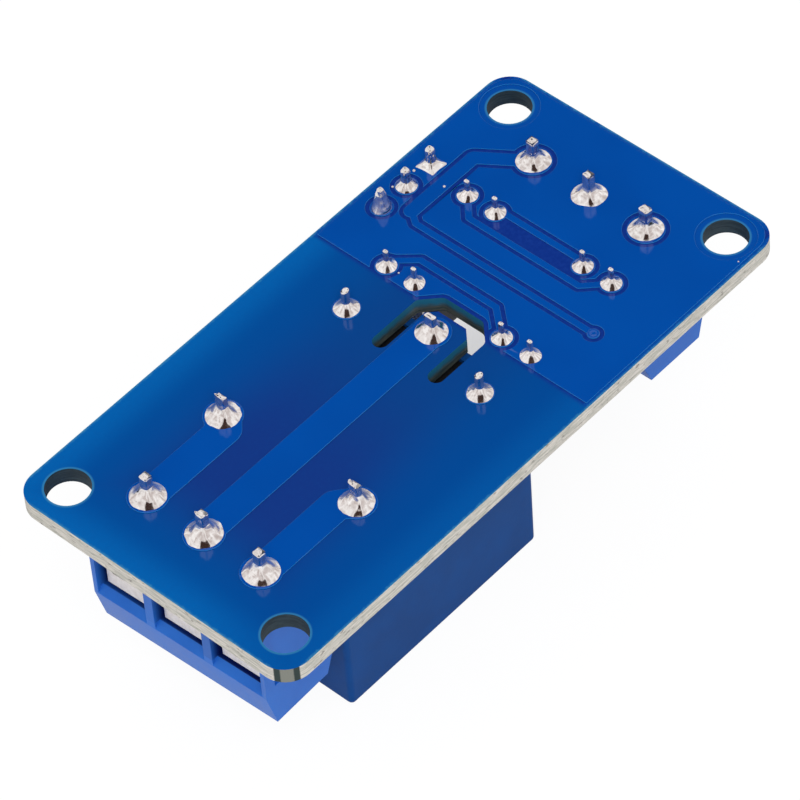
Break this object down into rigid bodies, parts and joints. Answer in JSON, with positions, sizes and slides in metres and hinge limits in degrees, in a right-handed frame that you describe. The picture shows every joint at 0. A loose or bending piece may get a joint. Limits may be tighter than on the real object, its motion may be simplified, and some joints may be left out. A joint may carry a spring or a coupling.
{
  "type": "relay module board",
  "caption": "Rectangular relay circuit module with a sealed relay, a screw terminal at each end, optocouplers and a jumper header, shown solder side up.",
  "frame": {"origin": "centre of the four mounting holes, on the solder face of the laminate", "axes": "+X along the board from the output terminal to the input terminal, +Z out of the solder face, +Y completes the right-handed frame"},
  "size_m": [0.0496, 0.0248, 0.0189],
  "materials": {
    "board_mask": "blue solder mask over glass-fibre laminate, glossy",
    "copper_mask": "blue solder mask over copper, glossy",
    "solder": "bright solder",
    "terminal_plastic": "moulded blue plastic, satin",
    "tinned_metal": "tin plated",
    "nickel_plate": "nickel plated",
    "relay_plastic": "moulded blue plastic, glossy",
    "dark_plastic": "moulded black plastic",
    "pale_plastic": "moulded pale plastic",
    "copper_wire": "lacquered copper wire",
    "soft_iron": "zinc plated iron",
    "copper_alloy": "rolled copper alloy",
    "contact_silver": "silver contact metal",
    "gold_plate": "thin gold plating",
    "cap_plastic": "moulded yellow plastic",
    "led_red": "clear lens over a red emitter",
    "led_green": "clear lens over a green emitter"
  },
  "bodies": {
    "module": {"circuit_board": "board_mask", "solder_side_copper": "copper_mask", "component_side_copper": "copper_mask", "terminal_solder": "solder", "relay_solder": "solder", "header_solder": "solder", "coupler_solder": "solder", "chip_solder": "solder", "output_terminal_housing": "terminal_plastic", "output_terminal_contacts": "tinned_metal", "output_terminal_clamps": "nickel_plate", "output_terminal_screws": "nickel_plate", "input_terminal_housing": "terminal_plastic", "input_terminal_contacts": "tinned_metal", "input_terminal_clamps": "nickel_plate", "input_terminal_screws": "nickel_plate", "relay_cover": "relay_plastic", "relay_base": "dark_plastic", "relay_bobbin": "pale_plastic", "relay_coil": "copper_wire", "relay_core": "soft_iron", "relay_yoke": "soft_iron", "relay_common_pin": "tinned_metal", "relay_coil_pins": "tinned_metal", "relay_open_contact": "copper_alloy", "relay_closed_contact": "copper_alloy", "coupler_a_body": "dark_plastic", "coupler_a_leads": "tinned_metal", "coupler_b_body": "dark_plastic", "coupler_b_leads": "tinned_metal", "header_base": "dark_plastic", "header_pins": "gold_plate", "jumper_cap": "cap_plastic", "jumper_clip": "gold_plate", "chip_resistors": "dark_plastic", "chip_ends": "tinned_metal", "power_led": "led_red", "status_led": "led_green", "transistor_body": "dark_plastic", "transistor_leads": "tinned_metal", "diode_body": "dark_plastic", "diode_leads": "tinned_metal"},
    "armature": {"relay_armature": "soft_iron", "relay_contact_spring": "copper_alloy", "relay_moving_contact": "contact_silver"}
  },
  "joints": [
    {"name": "armature_hinge", "type": "hinge", "parent": "module", "child": "armature", "pos_m": [0.00275, 0, -0.01197], "axis": [0, 1, 0], "range_deg": [0, 2.8], "stiffness_Nm_per_rad": 0.0005, "springref_deg": -2.86}
  ]
}
